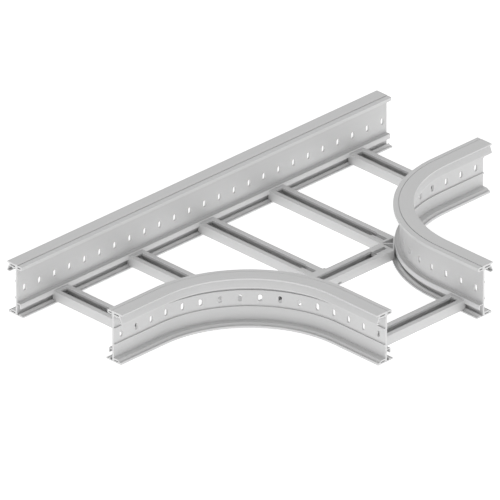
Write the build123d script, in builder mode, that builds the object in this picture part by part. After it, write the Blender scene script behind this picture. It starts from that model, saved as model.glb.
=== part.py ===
"""Cable ladder tee: one straight side rail, two bent side rails, seven C-profile rungs,
three brackets and the caps that close the rung ends. All sizes in millimetres.

The run lies along X, the branch leaves towards -Y and the ladder lies on Z = 0.
The origin is the middle of the footprint."""

import os
from math import sqrt

from build123d import *

# Overall layout
run_length = 1240.0
branch_reach = 620.0
rail_spacing = 326.8
bend_radius = 305.0
outer_rung_left_place = 485.0
outer_rung_right_place = 507.0
branch_outer_rung_place = 545.0
joint_shift = 6.3

# Side rail: web, ribs and the slots along it
rail_height = 135.0
web_thickness = 5.0
rib_spacing = 43.5
rib_height = 2.8
rib_depth = 3.4
slot_width = 9.5
slot_length = 18.0
slot_pitch = 50.0
first_slot = 25.0
end_slots = 3
bend_slots = 10

# Side rail: hollow top flange with its outer hook
flange_depth = 11.0
flange_inner_reach = 18.2
flange_outer_reach = 31.0
flange_tip = 4.0
flange_cavity = 3.0
inner_cavity_length = 10.0
outer_cavity_length = 16.0
cavity_wall = 3.2
groove_place = 4.0
groove_width = 1.8
groove_depth = 2.4
inner_step = 0.6
hook_root = 24.0
hook_drop = 25.5
hook_reach = 31.8
hook_wall = 2.8
hook_lip = 8.5
nub_place = 11.5
nub_size = 2.6

# Side rail: shelf above the rung ends, and the foot
shelf_top = 33.8
shelf_reach = 14.6
shelf_wall = 2.6
shelf_lip_wall = 2.8
shelf_lip_depth = 12.8
foot_outer_reach = 26.8
foot_shoulder = 16.8
foot_slope = 5.0
foot_height = 10.2
foot_tip = 6.2
foot_groove_width = 1.6
foot_groove_floor = 4.8
foot_cavity = 2.6
foot_cavity_length = 14.0
foot_inner_reach = 22.8
foot_pad = 3.6
foot_pad_reach = 14.6
foot_ridge = 6.4
foot_ridge_reach = 9.4
foot_floor = 2.6
pad_groove_reach = 17.4
pad_groove_width = 1.4
pad_groove_depth = 1.2
web_chamfer = 2.5
edge_chamfer = 1.4

# Rung: C-profile with its mouth up
rung_width = 49.0
rung_height = 24.9
rung_wall = 2.2
rung_mouth = 21.7
rung_lip_depth = 6.4
rung_bend = 1.2

# Tabs on the rung's sides, which reach under the shelf lip
tab_length = 5.0
tab_bottom = 6.8
tab_top = 20.6

# Slots for a tool in the side of the branch's inner rung, either side of the centre rung
tool_slot_place = 28.0
tool_slot_rise = 5.0
tool_slot_length = 12.0
tool_slot_width = 4.2

# Caps over the ends of the rung mouths
end_cap_length = 9.0
end_cap_thickness = 3.0
end_cap_recess = 0.4

# Brackets where rungs meet: grooved tongues between the lips, corner frames, centre plate
tongue_length = 44.0
tongue_height = 12.0
tongue_groove = 12.6
tongue_groove_depth = 9.0
corner_bridge = 5.5
centre_bridge = 8.5
bracket_wall = 2.0
bracket_back = 3.6
bracket_fin = 5.0
joint_plate_width = 61.0
joint_plate_depth = 5.5

# Derived places
half_web = web_thickness / 2
rail_y = rail_spacing / 2
bend_centre = rail_y + bend_radius
leg_length = branch_reach - bend_centre
run_leg_length = run_length / 2 - bend_centre
rung_seat = rail_y - shelf_reach
bend_diagonal = bend_centre - (bend_radius + shelf_reach) / sqrt(2)
inner_rung_place = bend_diagonal - joint_shift
branch_inner_rung_place = bend_diagonal + joint_shift
corner_x = inner_rung_place - rung_width / 2
corner_y = branch_inner_rung_place - rung_width / 2
rung_bottom = foot_pad
rung_top = rung_bottom + rung_height
y_shift = (branch_reach - rail_y - hook_reach) / 2
along_run = Vector(1, 0, 0)
away_from_branch = Vector(0, 1, 0)


def ease_corners(sketch, corners, length):
    """Chamfer the corners of a sketch that lie nearest the given points."""
    chosen = [sketch.vertices().sort_by_distance(corner)[0] for corner in corners]
    chamfer(chosen, length=length)


def rail_section(plane):
    """The rail's section: x runs outward from the web's middle, y runs up."""
    top = rail_height
    under = top - flange_depth
    hook_bottom = top - hook_drop
    hook_shift = hook_reach - hook_root
    slope_end = foot_shoulder + foot_slope
    web_rise = rail_height / 2
    with BuildSketch(plane) as section:
        with BuildLine():
            Polyline(
                (flange_outer_reach, top),
                (flange_outer_reach, top - flange_tip),
                (hook_root, top - flange_tip),
                (hook_reach, hook_bottom + hook_wall),
                (hook_reach, hook_bottom),
                (hook_reach - hook_lip, hook_bottom),
                (hook_reach - hook_lip, hook_bottom + hook_wall),
                (hook_reach - hook_wall, hook_bottom + hook_wall),
                (hook_root - hook_wall + hook_shift / 4, under),
                (nub_place + nub_size, under),
                (nub_place + nub_size / 3, under - nub_size),
                (nub_place - nub_size / 3, under - nub_size),
                (nub_place - nub_size, under),
                (half_web, under),
                (half_web, web_rise + (rib_spacing + rib_height) / 2),
                (half_web + rib_depth, web_rise + (rib_spacing + rib_height) / 2),
                (half_web + rib_depth, web_rise + (rib_spacing - rib_height) / 2),
                (half_web, web_rise + (rib_spacing - rib_height) / 2),
                (half_web, web_rise - (rib_spacing - rib_height) / 2),
                (half_web + rib_depth, web_rise - (rib_spacing - rib_height) / 2),
                (half_web + rib_depth, web_rise - (rib_spacing + rib_height) / 2),
                (half_web, web_rise - (rib_spacing + rib_height) / 2),
                (half_web, foot_height),
                (foot_shoulder, foot_height),
                (slope_end, foot_tip),
                (slope_end, foot_groove_floor),
                (slope_end + foot_groove_width, foot_groove_floor),
                (slope_end + foot_groove_width, foot_tip),
                (foot_outer_reach, foot_tip),
                (foot_outer_reach, 0),
                (-foot_inner_reach, 0),
                (-foot_inner_reach, foot_pad),
                (-pad_groove_reach - pad_groove_width, foot_pad),
                (-pad_groove_reach - pad_groove_width / 2, foot_pad - pad_groove_depth),
                (-pad_groove_reach, foot_pad),
                (-foot_pad_reach, foot_pad),
                (-foot_ridge_reach, foot_ridge),
                (-foot_ridge_reach, foot_floor),
                (-half_web, foot_floor),
                (-half_web, shelf_top - shelf_wall),
                (shelf_lip_wall - shelf_reach, shelf_top - shelf_wall),
                (shelf_lip_wall - shelf_reach, shelf_top - shelf_lip_depth),
                (-shelf_reach, shelf_top - shelf_lip_depth),
                (-shelf_reach, shelf_top),
                (-half_web, shelf_top),
                (-half_web, under),
                (-flange_inner_reach, under),
                (-flange_inner_reach, top - inner_step),
                (-groove_place - groove_width, top - inner_step),
                (-groove_place - groove_width, top - groove_depth),
                (-groove_place, top - groove_depth),
                (-groove_place, top),
                close=True,
            )
        make_face()
        ease_corners(section, [(half_web, under), (-half_web, under)], web_chamfer)
        outer_corners = [
            (foot_outer_reach, foot_tip),
            (-flange_inner_reach, top - inner_step),
            (-flange_inner_reach, under),
            (-shelf_reach, shelf_top),
        ]
        ease_corners(section, outer_corners, edge_chamfer)
        cavity_x = half_web + cavity_wall / 2
        cavity_z = top - flange_depth / 2 - edge_chamfer / 2
        with Locations((-cavity_x - inner_cavity_length / 2, cavity_z)):
            Rectangle(inner_cavity_length, flange_cavity, mode=Mode.SUBTRACT)
        with Locations((cavity_x + outer_cavity_length / 2, cavity_z)):
            Rectangle(outer_cavity_length, flange_cavity, mode=Mode.SUBTRACT)
        with Locations((cavity_x + foot_cavity_length / 2, foot_height / 2)):
            Rectangle(foot_cavity_length, foot_cavity, mode=Mode.SUBTRACT)
    return section.sketch


def rung_section(plane):
    """The rung's section: a C with its mouth up, both lips turned down."""
    half = rung_width / 2
    mouth = rung_mouth / 2
    with BuildSketch(plane) as section:
        with BuildLine():
            Polyline(
                (-half, 0),
                (half, 0),
                (half, rung_height),
                (mouth, rung_height),
                (mouth, rung_height - rung_lip_depth),
                (mouth + rung_wall, rung_height - rung_lip_depth),
                (mouth + rung_wall, rung_height - rung_wall),
                (half - rung_wall, rung_height - rung_wall),
                (half - rung_wall, rung_wall),
                (rung_wall - half, rung_wall),
                (rung_wall - half, rung_height - rung_wall),
                (-mouth - rung_wall, rung_height - rung_wall),
                (-mouth - rung_wall, rung_height - rung_lip_depth),
                (-mouth, rung_height - rung_lip_depth),
                (-mouth, rung_height),
                (-half, rung_height),
                close=True,
            )
        make_face()
        bends = [(mouth, rung_height), (-mouth, rung_height)]
        fillet([section.vertices().sort_by_distance(bend)[0] for bend in bends], radius=rung_bend)
    return section.sketch


def cut_web_slot(place, along):
    """Cut one upright slot through a web: place is on the web's middle, along follows the rail."""
    face = Plane(origin=place, x_dir=along, z_dir=along.cross(Vector(0, 0, 1)))
    with BuildSketch(face) as slot:
        SlotOverall(slot_length, slot_width, rotation=90)
    extrude(slot.sketch, amount=web_thickness, both=True, mode=Mode.SUBTRACT)


def make_straight_rail():
    """The rail along the back of the run, slotted at an even pitch over its whole length."""
    start = Vector(-run_length / 2, rail_y + y_shift, 0)
    with BuildPart() as rail:
        section = rail_section(Plane(origin=start, x_dir=(0, 1, 0), z_dir=(1, 0, 0)))
        extrude(section, amount=run_length)
        slot_count = int((run_length - first_slot) // slot_pitch) + 1
        for number in range(slot_count):
            station = Vector(first_slot + number * slot_pitch, 0, rail_height / 2)
            cut_web_slot(start + station, Vector(1, 0, 0))
    return rail.part


def bend_slot_distances(length):
    """Distances of a bent rail's slots from its end: three by each end, the rest spread evenly."""
    by_end = [first_slot + number * slot_pitch for number in range(end_slots)]
    step = (length - 2 * by_end[-1]) / (bend_slots + 1)
    between = [by_end[-1] + step * number for number in range(1, bend_slots + 1)]
    return by_end + between + [length - distance for distance in reversed(by_end)]


def make_left_curved_rail():
    """The bent rail on the -X side: a leg along the run, a quarter bend, a leg along the branch."""
    start = Vector(-run_length / 2, y_shift - rail_y, 0)
    with BuildLine() as web_line:
        run_leg = Line(start, start + Vector(run_leg_length, 0, 0))
        bend = JernArc(run_leg @ 1, run_leg % 1, bend_radius, -90)
        Line(bend @ 1, bend @ 1 + Vector(0, -leg_length, 0))
    path = web_line.wire()
    with BuildPart() as rail:
        section = rail_section(Plane(origin=start, x_dir=(0, -1, 0), z_dir=(-1, 0, 0)))
        sweep(section, path=path)
        for distance in bend_slot_distances(path.length):
            share = distance / path.length
            place = path.position_at(share) + Vector(0, 0, rail_height / 2)
            cut_web_slot(place, path.tangent_at(share))
    return rail.part


def add_end_tabs(section, end, outward):
    """Lengthen a rung past its end face, then cut it back above and below its side tabs."""
    extrude(section, amount=tab_length, dir=outward)
    for low, high in ((rung_bottom, tab_bottom), (tab_top, rung_top)):
        level = Plane(origin=end + Vector(0, y_shift, low), x_dir=outward, z_dir=(0, 0, 1))
        with BuildSketch(level) as band:
            Rectangle(tab_length, rung_width, align=(Align.MIN, Align.CENTER))
        extrude(band.sketch, amount=high - low, mode=Mode.SUBTRACT)


def make_rung(start, direction, length, far_tabs):
    """A rung that starts at the middle of its end face and runs in the given direction.
    It has tabs at its start, and at its far end where far_tabs is true."""
    across = Vector(0, 0, 1).cross(direction)
    base = Vector(0, y_shift, rung_bottom)
    finish = start + direction * length
    with BuildPart() as rung:
        section = rung_section(Plane(origin=start + base, x_dir=across, z_dir=direction))
        extrude(section, amount=length)
        add_end_tabs(section, start, -direction)
        if far_tabs:
            far = rung_section(Plane(origin=finish + base, x_dir=across, z_dir=direction))
            add_end_tabs(far, finish, direction)
    return rung.part


def make_branch_inner_rung():
    """The rung between the corner brackets, with two tool slots through its -Y side."""
    middle = Vector(0, y_shift - branch_inner_rung_place, rung_bottom)
    side = middle + Vector(0, -rung_width / 2, tool_slot_rise)
    with BuildPart() as rung:
        section = rung_section(Plane(origin=middle, x_dir=(0, 1, 0), z_dir=(1, 0, 0)))
        extrude(section, amount=corner_x, both=True)
        with BuildSketch(Plane(origin=side, x_dir=(1, 0, 0), z_dir=(0, -1, 0))) as slots:
            with Locations((tool_slot_place, 0), (-tool_slot_place, 0)):
                SlotOverall(tool_slot_length, tool_slot_width)
        extrude(slots.sketch, amount=-rung_wall, mode=Mode.SUBTRACT)
    return rung.part


def make_end_cap(start, direction):
    """A plate between the lips that covers a rung's mouth from its end face inward."""
    base = start + Vector(0, y_shift, rung_top - end_cap_recess)
    with BuildPart() as cap:
        with BuildSketch(Plane(origin=base, x_dir=direction, z_dir=(0, 0, 1))):
            Rectangle(end_cap_length, rung_mouth, align=(Align.MIN, Align.CENTER))
        extrude(amount=-end_cap_thickness)
    return cap.part


def add_tongue(end, inward, bridge):
    """A grooved insert between a rung's lips, from the rung's end inward along its mouth.
    Its groove stays closed over the first bridge millimetres."""
    top = Plane(origin=end + Vector(0, y_shift, rung_top), x_dir=inward, z_dir=(0, 0, 1))
    with BuildSketch(top) as body:
        Rectangle(tongue_length, rung_mouth, align=(Align.MIN, Align.CENTER))
    extrude(body.sketch, amount=-tongue_height)
    with BuildSketch(top) as groove:
        with Locations((bridge, 0)):
            Rectangle(tongue_length, tongue_groove, align=(Align.MIN, Align.CENTER))
    extrude(groove.sketch, amount=-tongue_groove_depth, mode=Mode.SUBTRACT)


def make_left_corner_bracket():
    """The bracket between two rung ends and the bend: a three-sided frame with a fin,
    and one tongue into the mouth of each rung."""
    corner = Vector(-corner_x, y_shift - corner_y, rung_bottom)
    depth = rung_width / sqrt(2)
    pocket_depth = depth - bracket_back
    side_offset = bracket_wall * sqrt(2)
    with BuildPart() as bracket:
        with BuildSketch(Plane(origin=corner, x_dir=(-1, -1, 0))):
            with BuildLine():
                Polyline((0, 0), (depth, depth), (depth, -depth), close=True)
            make_face()
            for side in (1, -1):
                with BuildLine():
                    Polyline(
                        (side_offset + bracket_fin / 2, side * bracket_fin / 2),
                        (pocket_depth, side * bracket_fin / 2),
                        (pocket_depth, side * (pocket_depth - side_offset)),
                        close=True,
                    )
                make_face(mode=Mode.SUBTRACT)
        extrude(amount=rung_height)
        add_tongue(Vector(-inner_rung_place, -corner_y, 0), away_from_branch, corner_bridge)
        add_tongue(Vector(-corner_x, -branch_inner_rung_place, 0), along_run, corner_bridge)
    return bracket.part


def make_centre_bracket():
    """The plate between the centre rung's end and the side of the branch's inner rung,
    with one tongue into the centre rung's mouth."""
    base = Vector(0, y_shift - corner_y, rung_bottom)
    with BuildPart() as bracket:
        with BuildSketch(Plane(origin=base)):
            Rectangle(joint_plate_width, joint_plate_depth, align=(Align.CENTER, Align.MIN))
        extrude(amount=rung_height)
        add_tongue(Vector(0, -corner_y, 0), away_from_branch, centre_bridge)
    return bracket.part


def mirrored(part):
    """The same piece on the other side of the branch's middle plane."""
    with BuildPart() as other:
        mirror(part, about=Plane.YZ)
    return other.part


run_clear = 2 * rung_seat
inner_length = rung_seat + corner_y
centre_length = inner_length - joint_plate_depth
to_branch = -away_from_branch

outer_start_left = Vector(-outer_rung_left_place, rung_seat, 0)
outer_start_right = Vector(outer_rung_right_place, rung_seat, 0)
inner_start = Vector(-inner_rung_place, rung_seat, 0)
centre_start = Vector(0, rung_seat, 0)
branch_start = Vector(-rung_seat, -branch_outer_rung_place, 0)

left_pieces = {
    "curved_rail": make_left_curved_rail(),
    "inner_rung": make_rung(inner_start, to_branch, inner_length, False),
    "inner_rung_cap": make_end_cap(inner_start, to_branch),
    "branch_rung_cap": make_end_cap(branch_start, along_run),
    "corner_bracket": make_left_corner_bracket(),
}

pieces = {
    "straight_rail": make_straight_rail(),
    "centre_rung": make_rung(centre_start, to_branch, centre_length, False),
    "centre_rung_cap": make_end_cap(centre_start, to_branch),
    "centre_bracket": make_centre_bracket(),
    "branch_inner_rung": make_branch_inner_rung(),
    "branch_outer_rung": make_rung(branch_start, along_run, run_clear, True),
}
for name, piece in left_pieces.items():
    pieces[name + "_left"] = piece
    pieces[name + "_right"] = mirrored(piece)
for end, start in (("left", outer_start_left), ("right", outer_start_right)):
    front = start + to_branch * run_clear
    pieces["outer_rung_" + end] = make_rung(start, to_branch, run_clear, True)
    pieces["outer_rung_back_cap_" + end] = make_end_cap(start, to_branch)
    pieces["outer_rung_front_cap_" + end] = make_end_cap(front, away_from_branch)

os.makedirs("parts", exist_ok=True)
for name, piece in pieces.items():
    piece.label = name
    export_step(piece, f"parts/{name}.step")
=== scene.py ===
"""Looks of the cable ladder tee: extruded aluminium finishes for the rails, rungs, brackets and
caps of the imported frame, and the pale studio that it lies in."""

import math

import bpy
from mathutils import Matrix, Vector


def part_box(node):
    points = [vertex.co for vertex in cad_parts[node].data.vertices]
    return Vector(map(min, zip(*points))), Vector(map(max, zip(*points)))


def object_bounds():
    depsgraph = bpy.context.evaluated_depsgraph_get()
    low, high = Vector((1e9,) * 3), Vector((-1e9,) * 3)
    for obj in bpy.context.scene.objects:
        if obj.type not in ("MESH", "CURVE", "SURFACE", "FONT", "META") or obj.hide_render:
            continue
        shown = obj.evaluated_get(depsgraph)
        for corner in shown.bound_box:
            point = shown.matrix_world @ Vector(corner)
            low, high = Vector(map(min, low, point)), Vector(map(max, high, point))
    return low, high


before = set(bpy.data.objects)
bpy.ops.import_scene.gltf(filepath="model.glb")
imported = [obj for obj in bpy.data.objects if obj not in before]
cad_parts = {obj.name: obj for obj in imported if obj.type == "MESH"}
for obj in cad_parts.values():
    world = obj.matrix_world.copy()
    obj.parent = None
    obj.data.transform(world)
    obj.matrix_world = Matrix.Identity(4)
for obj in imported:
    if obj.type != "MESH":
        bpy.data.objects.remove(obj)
CAD_LOW, CAD_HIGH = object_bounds()

bl_info = {
    "name": "Cable Ladder Tee Finish",
    "version": (1, 0, 0),
    "blender": (4, 5, 0),
    "location": "3D View > Sidebar > Ladder",
    "description": "Finishes an aluminium cable ladder tee and lights it in a pale studio",
    "category": "Object",
}

MM = 0.001

# Places that the finishes follow: three sizes of the ladder, and what the frame gives with them
BEND_RADIUS = 305 * MM
RAIL_SPACING = 326.8 * MM
OUTER_HOOK = 31.8 * MM
BRANCH_LENGTH = CAD_HIGH.y - CAD_LOW.y - RAIL_SPACING / 2 - OUTER_HOOK
RUN_AXIS_Y = CAD_LOW.y + BRANCH_LENGTH
BEND_CENTRE_OFFSET = RAIL_SPACING / 2 + BEND_RADIUS

# Faces of a rail whose tone, painted light and shade, is fitted to the picture: the flange's rim,
# the shelf, the ridge
RIM_REACH = 18.2 * MM
RIM_LOW = 120.0 * MM
HALF_WEB = 2.5 * MM
SHELF_REACH = 14.6 * MM
SHELF_TOP = 33.8 * MM
SHELF_CHAMFER = 1.4 * MM
LIP_BOTTOM = 21.0 * MM
RIDGE_REACH = 9.4 * MM
RIDGE_TOP = 6.4 * MM
RIDGE_END = 17.4 * MM

# Faces of a rung whose tone, a painted highlight, is fitted to the picture: those between the lips
RUNG_MOUTH = 21.7 * MM
LIP_DEPTH = 6.4 * MM

# How far past a face its painted light or shade and the test for a sawn end still reach
MARGIN = 0.3 * MM

# The photograph's square frame and where its middle falls on the floor
PHOTO_PIXELS = 500
PHOTO_SCALE = 0.41934
FRAME_WIDTH = PHOTO_PIXELS / PHOTO_SCALE * MM
AIM_POINT = Vector((5.7 * MM, RUN_AXIS_Y + 7.8 * MM, 0.0))

# How strong and how fine the die lines, saw lines, cloudy patches and bump are
LINE_TONE = 0.05
LINE_ROUGHNESS = 0.10
LINE_DETAIL = 3.0
LINE_DRIFT = 0.004
SAW_FINENESS = 2.0
PATCH_TONE = 0.03
PATCH_ROUGHNESS = 0.08
PATCH_SCALE = 9.0
BUMP_STRENGTH = 0.08
BUMP_DEPTH = 0.05 * MM

# Glow of the floor where it is seen, and the colours of floor and light
FLOOR_WHITE = 0.6
FLOOR_GREY = (0.8, 0.8, 0.8, 1.0)
LIGHT_GREY = (0.8, 0.8, 0.8, 1.0)
PURE_WHITE = (1.0, 1.0, 1.0, 1.0)


class Socket:
    """One output socket with arithmetic: each operator adds the node that does it."""

    def __init__(self, sheet, output):
        self.sheet = sheet
        self.output = output

    def _math(self, operation, first, second=None):
        values = {0: first}
        if second is not None:
            values[1] = second
        return self.sheet.node("ShaderNodeMath", {"operation": operation}, values)

    def __add__(self, other):
        return self._math("ADD", self, other)

    def __radd__(self, other):
        return self._math("ADD", other, self)

    def __sub__(self, other):
        return self._math("SUBTRACT", self, other)

    def __rsub__(self, other):
        return self._math("SUBTRACT", other, self)

    def __mul__(self, other):
        return self._math("MULTIPLY", self, other)

    def __rmul__(self, other):
        return self._math("MULTIPLY", other, self)

    def __truediv__(self, other):
        return self._math("DIVIDE", self, other)

    def __pow__(self, other):
        return self._math("POWER", self, other)

    def __lt__(self, other):
        return self._math("LESS_THAN", self, other)

    def __gt__(self, other):
        return self._math("GREATER_THAN", self, other)

    def __abs__(self):
        return self._math("ABSOLUTE", self)

    def at_least(self, low):
        return self._math("MAXIMUM", self, low)

    def at_most(self, high):
        return self._math("MINIMUM", self, high)


class Sheet:
    """A node tree that is written from Python expressions."""

    def __init__(self, tree):
        self.tree = tree
        tree.nodes.clear()

    def node(self, kind, settings=None, values=None, out=0):
        """Add a node: its settings first, then the values or links of its sockets."""
        made = self.tree.nodes.new(kind)
        for name, value in (settings or {}).items():
            setattr(made, name, value)
        for key, value in (values or {}).items():
            if isinstance(value, Socket):
                self.tree.links.new(value.output, made.inputs[key])
            else:
                made.inputs[key].default_value = value
        if not made.outputs:
            return None
        return Socket(self, made.outputs[out])

    def vector(self, x, y, z):
        return self.node("ShaderNodeCombineXYZ", None, {"X": x, "Y": y, "Z": z})

    def object_axes(self):
        """The three Object coordinates as separate sockets."""
        place = self.node("ShaderNodeTexCoord", None, None, "Object")
        return [
            self.node("ShaderNodeSeparateXYZ", None, {"Vector": place}, axis) for axis in "XYZ"
        ]

    def noise(self, vector, scale, detail=2.0):
        values = {"Vector": vector, "Scale": scale, "Detail": detail}
        return self.node("ShaderNodeTexNoise", None, values, "Fac")

    def grey(self, level, tint):
        """A colour from a level: the tint scaled by it."""
        settings = {"operation": "SCALE"}
        return self.node("ShaderNodeVectorMath", settings, {0: tint, "Scale": level})


class LadderFinish(bpy.types.PropertyGroup):
    rail_level: bpy.props.FloatProperty(
        name="Rail grey",
        description="Linear grey level of the extruded side rails",
        default=0.64,
        min=0.0,
        max=1.0,
    )
    rung_level: bpy.props.FloatProperty(
        name="Rung grey",
        description="Linear grey level of the rungs",
        default=0.64,
        min=0.0,
        max=1.0,
    )
    joint_level: bpy.props.FloatProperty(
        name="Bracket grey",
        description="Linear grey level of the brackets and end caps",
        default=0.64,
        min=0.0,
        max=1.0,
    )
    roughness: bpy.props.FloatProperty(
        name="Roughness",
        description="Mean roughness of the matt mill finish",
        default=0.5,
        min=0.0,
        max=1.0,
    )
    metal: bpy.props.FloatProperty(
        name="Metal",
        description="How far the finish reflects as bare metal",
        default=0.2,
        min=0.0,
        max=1.0,
    )
    streak_pitch: bpy.props.FloatProperty(
        name="Die line pitch",
        description="Spacing of the fine lines that the extrusion die leaves",
        default=1.6 * MM,
        min=0.1 * MM,
        unit="LENGTH",
    )
    # Painted highlight: how much paler the faces between the rungs' lips are painted.
    lip_painted_light: bpy.props.FloatProperty(
        name="Lip tone",
        description="How much paler the faces between the rungs' lips are",
        default=0.32,
        min=0.0,
        max=0.5,
    )
    # Painted highlight on the rim of the rails' top flange.
    rim_painted_light: bpy.props.FloatProperty(
        name="Rim tone",
        description="How much paler the rim of the rails' top flange is",
        default=0.1,
        min=0.0,
        max=0.5,
    )
    # Painted highlight on the sawn ends of the rails.
    cut_end_painted_light: bpy.props.FloatProperty(
        name="Cut end tone",
        description="How much paler the sawn ends of the rails are",
        default=0.07,
        min=0.0,
        max=0.5,
    )
    # Painted highlight on the edge of the shelf and the ridge of the foot.
    edge_painted_light: bpy.props.FloatProperty(
        name="Edge tone",
        description="How much paler the edge of the shelf and the ridge of the foot are",
        default=0.14,
        min=0.0,
        max=0.5,
    )
    # Painted shade on the shelf's top, growing from the web to the edge.
    shelf_shade: bpy.props.FloatProperty(
        name="Shelf shade",
        description="How much darker the shelf's top is by its edge, from nothing by the web",
        default=0.26,
        min=0.0,
        max=0.5,
    )
    # Painted shade in the pocket between the shelf and the foot.
    pocket_shade: bpy.props.FloatProperty(
        name="Pocket shade",
        description="How much darker the pocket between the shelf and the foot is",
        default=0.1,
        min=0.0,
        max=0.5,
    )


class LadderStage(bpy.types.PropertyGroup):
    azimuth: bpy.props.FloatProperty(
        name="Azimuth",
        description="Camera's angle round the ladder",
        default=math.radians(-44.76),
        subtype="ANGLE",
    )
    elevation: bpy.props.FloatProperty(
        name="Elevation",
        description="Camera's angle above the floor",
        default=math.radians(27.96),
        subtype="ANGLE",
    )
    lens: bpy.props.FloatProperty(
        name="Lens",
        description="Long focal length in millimetres, for a nearly parallel view",
        default=1690.0,
        min=50.0,
    )
    floor_size: bpy.props.FloatProperty(
        name="Floor size",
        description="Side of the square floor",
        default=24.0,
        unit="LENGTH",
    )
    sky_light: bpy.props.FloatProperty(
        name="Light all round",
        description="Strength of the even light from above and all round",
        default=0.89,
        min=0.0,
    )
    floor_light: bpy.props.FloatProperty(
        name="Light from the floor",
        description="Strength of the lit floor that the ladder lies on",
        default=0.86,
        min=0.0,
    )


def assign(names, material):
    """Give the CAD nodes one material, in their own slots."""
    for name in names:
        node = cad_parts[name]
        if not node.material_slots:
            node.data.materials.append(material)
        for slot in node.material_slots:
            slot.material = material


def new_sheet(name):
    material = bpy.data.materials.new(name)
    material.use_nodes = True
    return material, Sheet(material.node_tree)


def mill_finish(across, upward, along, level, pale=0.0, cut=None):
    """Extruded aluminium: fine die lines that run with the piece, slow cloudy patches,
    and a bump that follows the lines. across and upward span the section, along is its length.
    pale is painted light, or painted shade where it is below zero, added to the level, and where
    cut is given and one, saw lines replace the die lines."""
    finish = bpy.context.scene.ladder_finish
    lines = 1.0 / finish.streak_pitch
    sheet = across.sheet
    drift = LINE_DRIFT * lines
    section = sheet.vector(across * lines, upward * lines, along * drift)
    streaks = sheet.noise(section, 1.0, LINE_DETAIL)
    if cut is not None:
        sawn = sheet.vector(across * drift, upward * SAW_FINENESS * lines, 0.0)
        streaks = streaks + cut * (sheet.noise(sawn, 1.0, LINE_DETAIL) - streaks)
    patches = sheet.noise(sheet.vector(across, upward, along), PATCH_SCALE)
    line, patch = streaks - 0.5, patches - 0.5
    shade = level * (1.0 + pale + LINE_TONE * line + PATCH_TONE * patch)
    roughness = finish.roughness + LINE_ROUGHNESS * line + PATCH_ROUGHNESS * patch
    heights = {"Height": streaks, "Strength": BUMP_STRENGTH, "Distance": BUMP_DEPTH}
    bump = sheet.node("ShaderNodeBump", None, heights)
    surface = sheet.node(
        "ShaderNodeBsdfPrincipled",
        None,
        {
            "Base Color": sheet.grey(shade, (1.0, 1.0, 1.0)),
            "Metallic": finish.metal,
            "Roughness": roughness,
            "Normal": bump,
        },
    )
    sheet.node("ShaderNodeOutputMaterial", None, {"Surface": surface})


def paint_shelf_light_and_shade(inward, upward):
    """Painted light above zero and painted shade below: a painted highlight on the shelf's edge
    and the ridge, painted shade on the shelf's top, darker from the web to the edge, and in the
    pocket.
    """
    finish = bpy.context.scene.ladder_finish
    at_shelf = (upward > SHELF_TOP - SHELF_CHAMFER + MARGIN) * (upward < SHELF_TOP + MARGIN)
    by_edge = inward > SHELF_REACH - SHELF_CHAMFER + MARGIN
    from_web = ((inward - HALF_WEB) / (SHELF_REACH - HALF_WEB)).at_least(0.0)
    top = at_shelf * (1.0 - by_edge) * from_web
    in_pocket = (inward > 0.0) * (inward < RIDGE_REACH + MARGIN) * (upward < LIP_BOTTOM)
    on_ridge = (inward > RIDGE_REACH + MARGIN) * (inward < RIDGE_END) * (upward < RIDGE_TOP)
    edges = at_shelf * by_edge + on_ridge
    # Painted highlight on the shelf's edge and the ridge, painted shade on the shelf's top and in
    # the pocket.
    return finish.edge_painted_light * edges - finish.shelf_shade * top - finish.pocket_shade * in_pocket


def rail_finish(inward, upward, along, cut):
    """A rail's finish, with painted highlights on the flange's rim and the sawn ends and the
    shelf's painted light and shade: inward is the distance from its web's middle towards the
    cables, and cut is one on its sawn ends."""
    finish = bpy.context.scene.ladder_finish
    # Painted highlights on the flange's rim and the sawn ends, and the shelf's painted light and
    # shade, which the sawn ends leave out.
    rim = (inward > RIM_REACH - MARGIN) * (upward > RIM_LOW)
    shelf_light_and_shade = (1.0 - cut) * paint_shelf_light_and_shade(inward, upward)
    pale = finish.rim_painted_light * rim + finish.cut_end_painted_light * cut + shelf_light_and_shade
    mill_finish(inward, upward, along, finish.rail_level, pale, cut)


def straight_rail_material():
    material, sheet = new_sheet("straight_rail_mill_finish")
    x, y, z = sheet.object_axes()
    rail_finish(RUN_AXIS_Y + RAIL_SPACING / 2 - y, z, x, abs(x) > CAD_HIGH.x - MARGIN)
    return material


def curved_rail_material(side):
    """side is -1 for the left rail and 1 for the right. The die lines keep their distance from
    the bend's centre: across is the length of the part of the offset that points into the bend."""
    name = "left" if side < 0 else "right"
    material, sheet = new_sheet(f"curved_rail_{name}_mill_finish")
    x, y, z = sheet.object_axes()
    inward_x = (BEND_CENTRE_OFFSET - side * x).at_least(0.0)
    inward_y = (y - (RUN_AXIS_Y - BEND_CENTRE_OFFSET)).at_least(0.0)
    across = (inward_x * inward_x + inward_y * inward_y) ** 0.5
    cut = (side * x > CAD_HIGH.x - MARGIN) + (y < CAD_LOW.y + MARGIN)
    rail_finish(across - BEND_RADIUS, z, side * x + y, cut)
    return material


def rung_material(name):
    """The faces between the lips are paler, a painted highlight: they lie half a mouth from the
    middle line.
    """
    finish = bpy.context.scene.ladder_finish
    low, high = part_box(name)
    middle = (low + high) / 2
    material, sheet = new_sheet(name + "_mill_finish")
    x, y, z = sheet.object_axes()
    if name.startswith("branch"):
        across, along = y - middle.y, x
    else:
        across, along = x - middle.x, y
    # Painted highlight: the faces between the lips are painted paler than their light makes them.
    lips = (abs(across) < RUNG_MOUTH / 2 + MARGIN) * (z > high.z - LIP_DEPTH - MARGIN)
    mill_finish(across, z, along, finish.rung_level, finish.lip_painted_light * lips)
    return material


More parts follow.
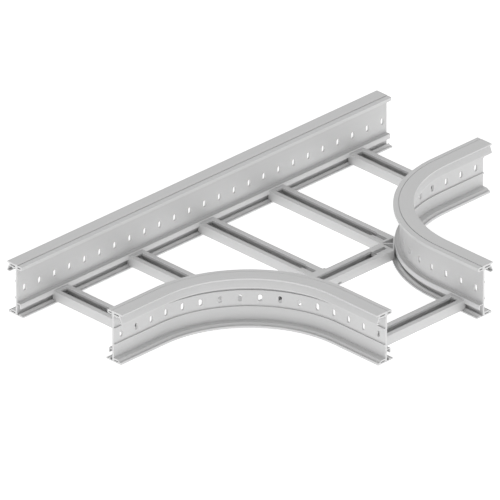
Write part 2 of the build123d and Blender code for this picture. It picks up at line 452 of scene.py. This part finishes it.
def joint_material():
    """Brackets and caps: the extrusion's lines run upwards."""
    finish = bpy.context.scene.ladder_finish
    material, sheet = new_sheet("joint_mill_finish")
    x, y, z = sheet.object_axes()
    mill_finish(x, y, z, finish.joint_level)
    return material


class LADDER_OT_side_rails(bpy.types.Operator):
    """Finish the straight rail and both bent rails"""

    bl_idname = "ladder.side_rails"
    bl_label = "Side rails"

    def execute(self, context):
        assign(["straight_rail"], straight_rail_material())
        assign(["curved_rail_left"], curved_rail_material(-1))
        assign(["curved_rail_right"], curved_rail_material(1))
        return {"FINISHED"}


class LADDER_OT_rungs(bpy.types.Operator):
    """Finish the five rungs of the run and the two of the branch"""

    bl_idname = "ladder.rungs"
    bl_label = "Rungs"

    def execute(self, context):
        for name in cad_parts:
            if "rung" in name and "cap" not in name:
                assign([name], rung_material(name))
        return {"FINISHED"}


class LADDER_OT_joints(bpy.types.Operator):
    """Finish the brackets and the caps over the rung mouths"""

    bl_idname = "ladder.joints"
    bl_label = "Brackets and caps"

    def execute(self, context):
        joints = [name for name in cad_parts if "cap" in name or "bracket" in name]
        assign(joints, joint_material())
        return {"FINISHED"}


def floor_material(stage):
    """A lit white floor, as on a light table. Where the camera or a reflection sees it, its
    own glow keeps it white in the open and leaves the contact shadow of the ladder."""
    material, sheet = new_sheet("studio_floor")
    matt = sheet.node("ShaderNodeBsdfDiffuse", None, {"Color": FLOOR_GREY})
    table = sheet.node("ShaderNodeEmission", None, {"Strength": stage.floor_light})
    white = sheet.node("ShaderNodeEmission", None, {"Strength": FLOOR_WHITE})
    glow = sheet.node(
        "ShaderNodeMixShader", None, {0: camera_or_mirror(sheet), 1: table, 2: white}
    )
    surface = sheet.node("ShaderNodeAddShader", None, {0: matt, 1: glow})
    sheet.node("ShaderNodeOutputMaterial", None, {"Surface": surface})
    return material


def camera_or_mirror(sheet):
    """One where a ray comes from the camera, a reflection or a refraction, else zero."""
    rays = [
        sheet.node("ShaderNodeLightPath", None, None, kind)
        for kind in ("Is Camera Ray", "Is Glossy Ray", "Is Transmission Ray")
    ]
    return (rays[0] + rays[1] + rays[2]).at_most(1.0)


def make_floor(stage):
    """A flat square at Z = 0, centred under the ladder."""
    half = stage.floor_size / 2
    points = [(x, y, 0.0) for y in (-half, half) for x in (-half, half)]
    mesh = bpy.data.meshes.new("studio_floor")
    mesh.from_pydata(points, [], [(0, 1, 3, 2)])
    floor = bpy.data.objects.new("studio_floor", mesh)
    bpy.context.scene.collection.objects.link(floor)
    mesh.materials.append(floor_material(stage))


def towards(azimuth, elevation):
    """Unit vector from the ladder to a place at the given angles round and above it."""
    level = math.cos(elevation)
    return Vector((math.sin(azimuth) * level, -math.cos(azimuth) * level, math.sin(elevation)))


def light_world(stage):
    """Even light all round, as in a white tent. The camera and mirrors see pure white."""
    world = bpy.data.worlds.new("studio_light")
    world.use_nodes = True
    bpy.context.scene.world = world
    sheet = Sheet(world.node_tree)
    glow = {"Color": LIGHT_GREY, "Strength": stage.sky_light}
    light = sheet.node("ShaderNodeBackground", None, glow)
    white = sheet.node("ShaderNodeBackground", None, {"Color": PURE_WHITE, "Strength": 1.0})
    seen = camera_or_mirror(sheet)
    surface = sheet.node("ShaderNodeMixShader", None, {0: seen, 1: light, 2: white})
    sheet.node("ShaderNodeOutputWorld", None, {"Surface": surface})


def make_camera(stage):
    """A long lens at the photograph's angle, as far off as its frame width needs."""
    data = bpy.data.cameras.new("photo_camera")
    data.lens = stage.lens
    distance = FRAME_WIDTH * data.lens / data.sensor_width
    data.clip_end = 2 * distance
    camera = bpy.data.objects.new("photo_camera", data)
    bpy.context.scene.collection.objects.link(camera)
    back = towards(stage.azimuth, stage.elevation)
    camera.location = AIM_POINT + back * distance
    camera.rotation_mode = "QUATERNION"
    camera.rotation_quaternion = (-back).to_track_quat("-Z", "Y")
    bpy.context.scene.camera = camera


class LADDER_OT_stage(bpy.types.Operator):
    """Lay the pale floor, light the scene and set the camera"""

    bl_idname = "ladder.stage"
    bl_label = "Studio"

    def execute(self, context):
        stage = context.scene.ladder_stage
        make_floor(stage)
        light_world(stage)
        make_camera(stage)
        view = context.scene.view_settings
        view.view_transform = "Standard"
        return {"FINISHED"}


class LADDER_PT_panel(bpy.types.Panel):
    """Lists the finishes, the studio and their settings"""

    bl_idname = "LADDER_PT_panel"
    bl_label = "Cable ladder tee"
    bl_space_type = "VIEW_3D"
    bl_region_type = "UI"
    bl_category = "Ladder"

    def draw(self, context):
        layout = self.layout
        for group in (context.scene.ladder_finish, context.scene.ladder_stage):
            box = layout.box()
            for name in group.__annotations__:
                box.prop(group, name)
        for operator in OPERATORS:
            layout.operator(operator.bl_idname)


OPERATORS = (LADDER_OT_side_rails, LADDER_OT_rungs, LADDER_OT_joints, LADDER_OT_stage)
CLASSES = (LadderFinish, LadderStage, *OPERATORS, LADDER_PT_panel)


def register():
    for kind in CLASSES:
        bpy.utils.register_class(kind)
    bpy.types.Scene.ladder_finish = bpy.props.PointerProperty(type=LadderFinish)
    bpy.types.Scene.ladder_stage = bpy.props.PointerProperty(type=LadderStage)


def unregister():
    del bpy.types.Scene.ladder_stage
    del bpy.types.Scene.ladder_finish
    for kind in reversed(CLASSES):
        bpy.utils.unregister_class(kind)


def main():
    """Make everything in order."""
    register()
    bpy.ops.ladder.side_rails()
    bpy.ops.ladder.rungs()
    bpy.ops.ladder.joints()
    bpy.ops.ladder.stage()


if __name__ == "__main__":
    main()
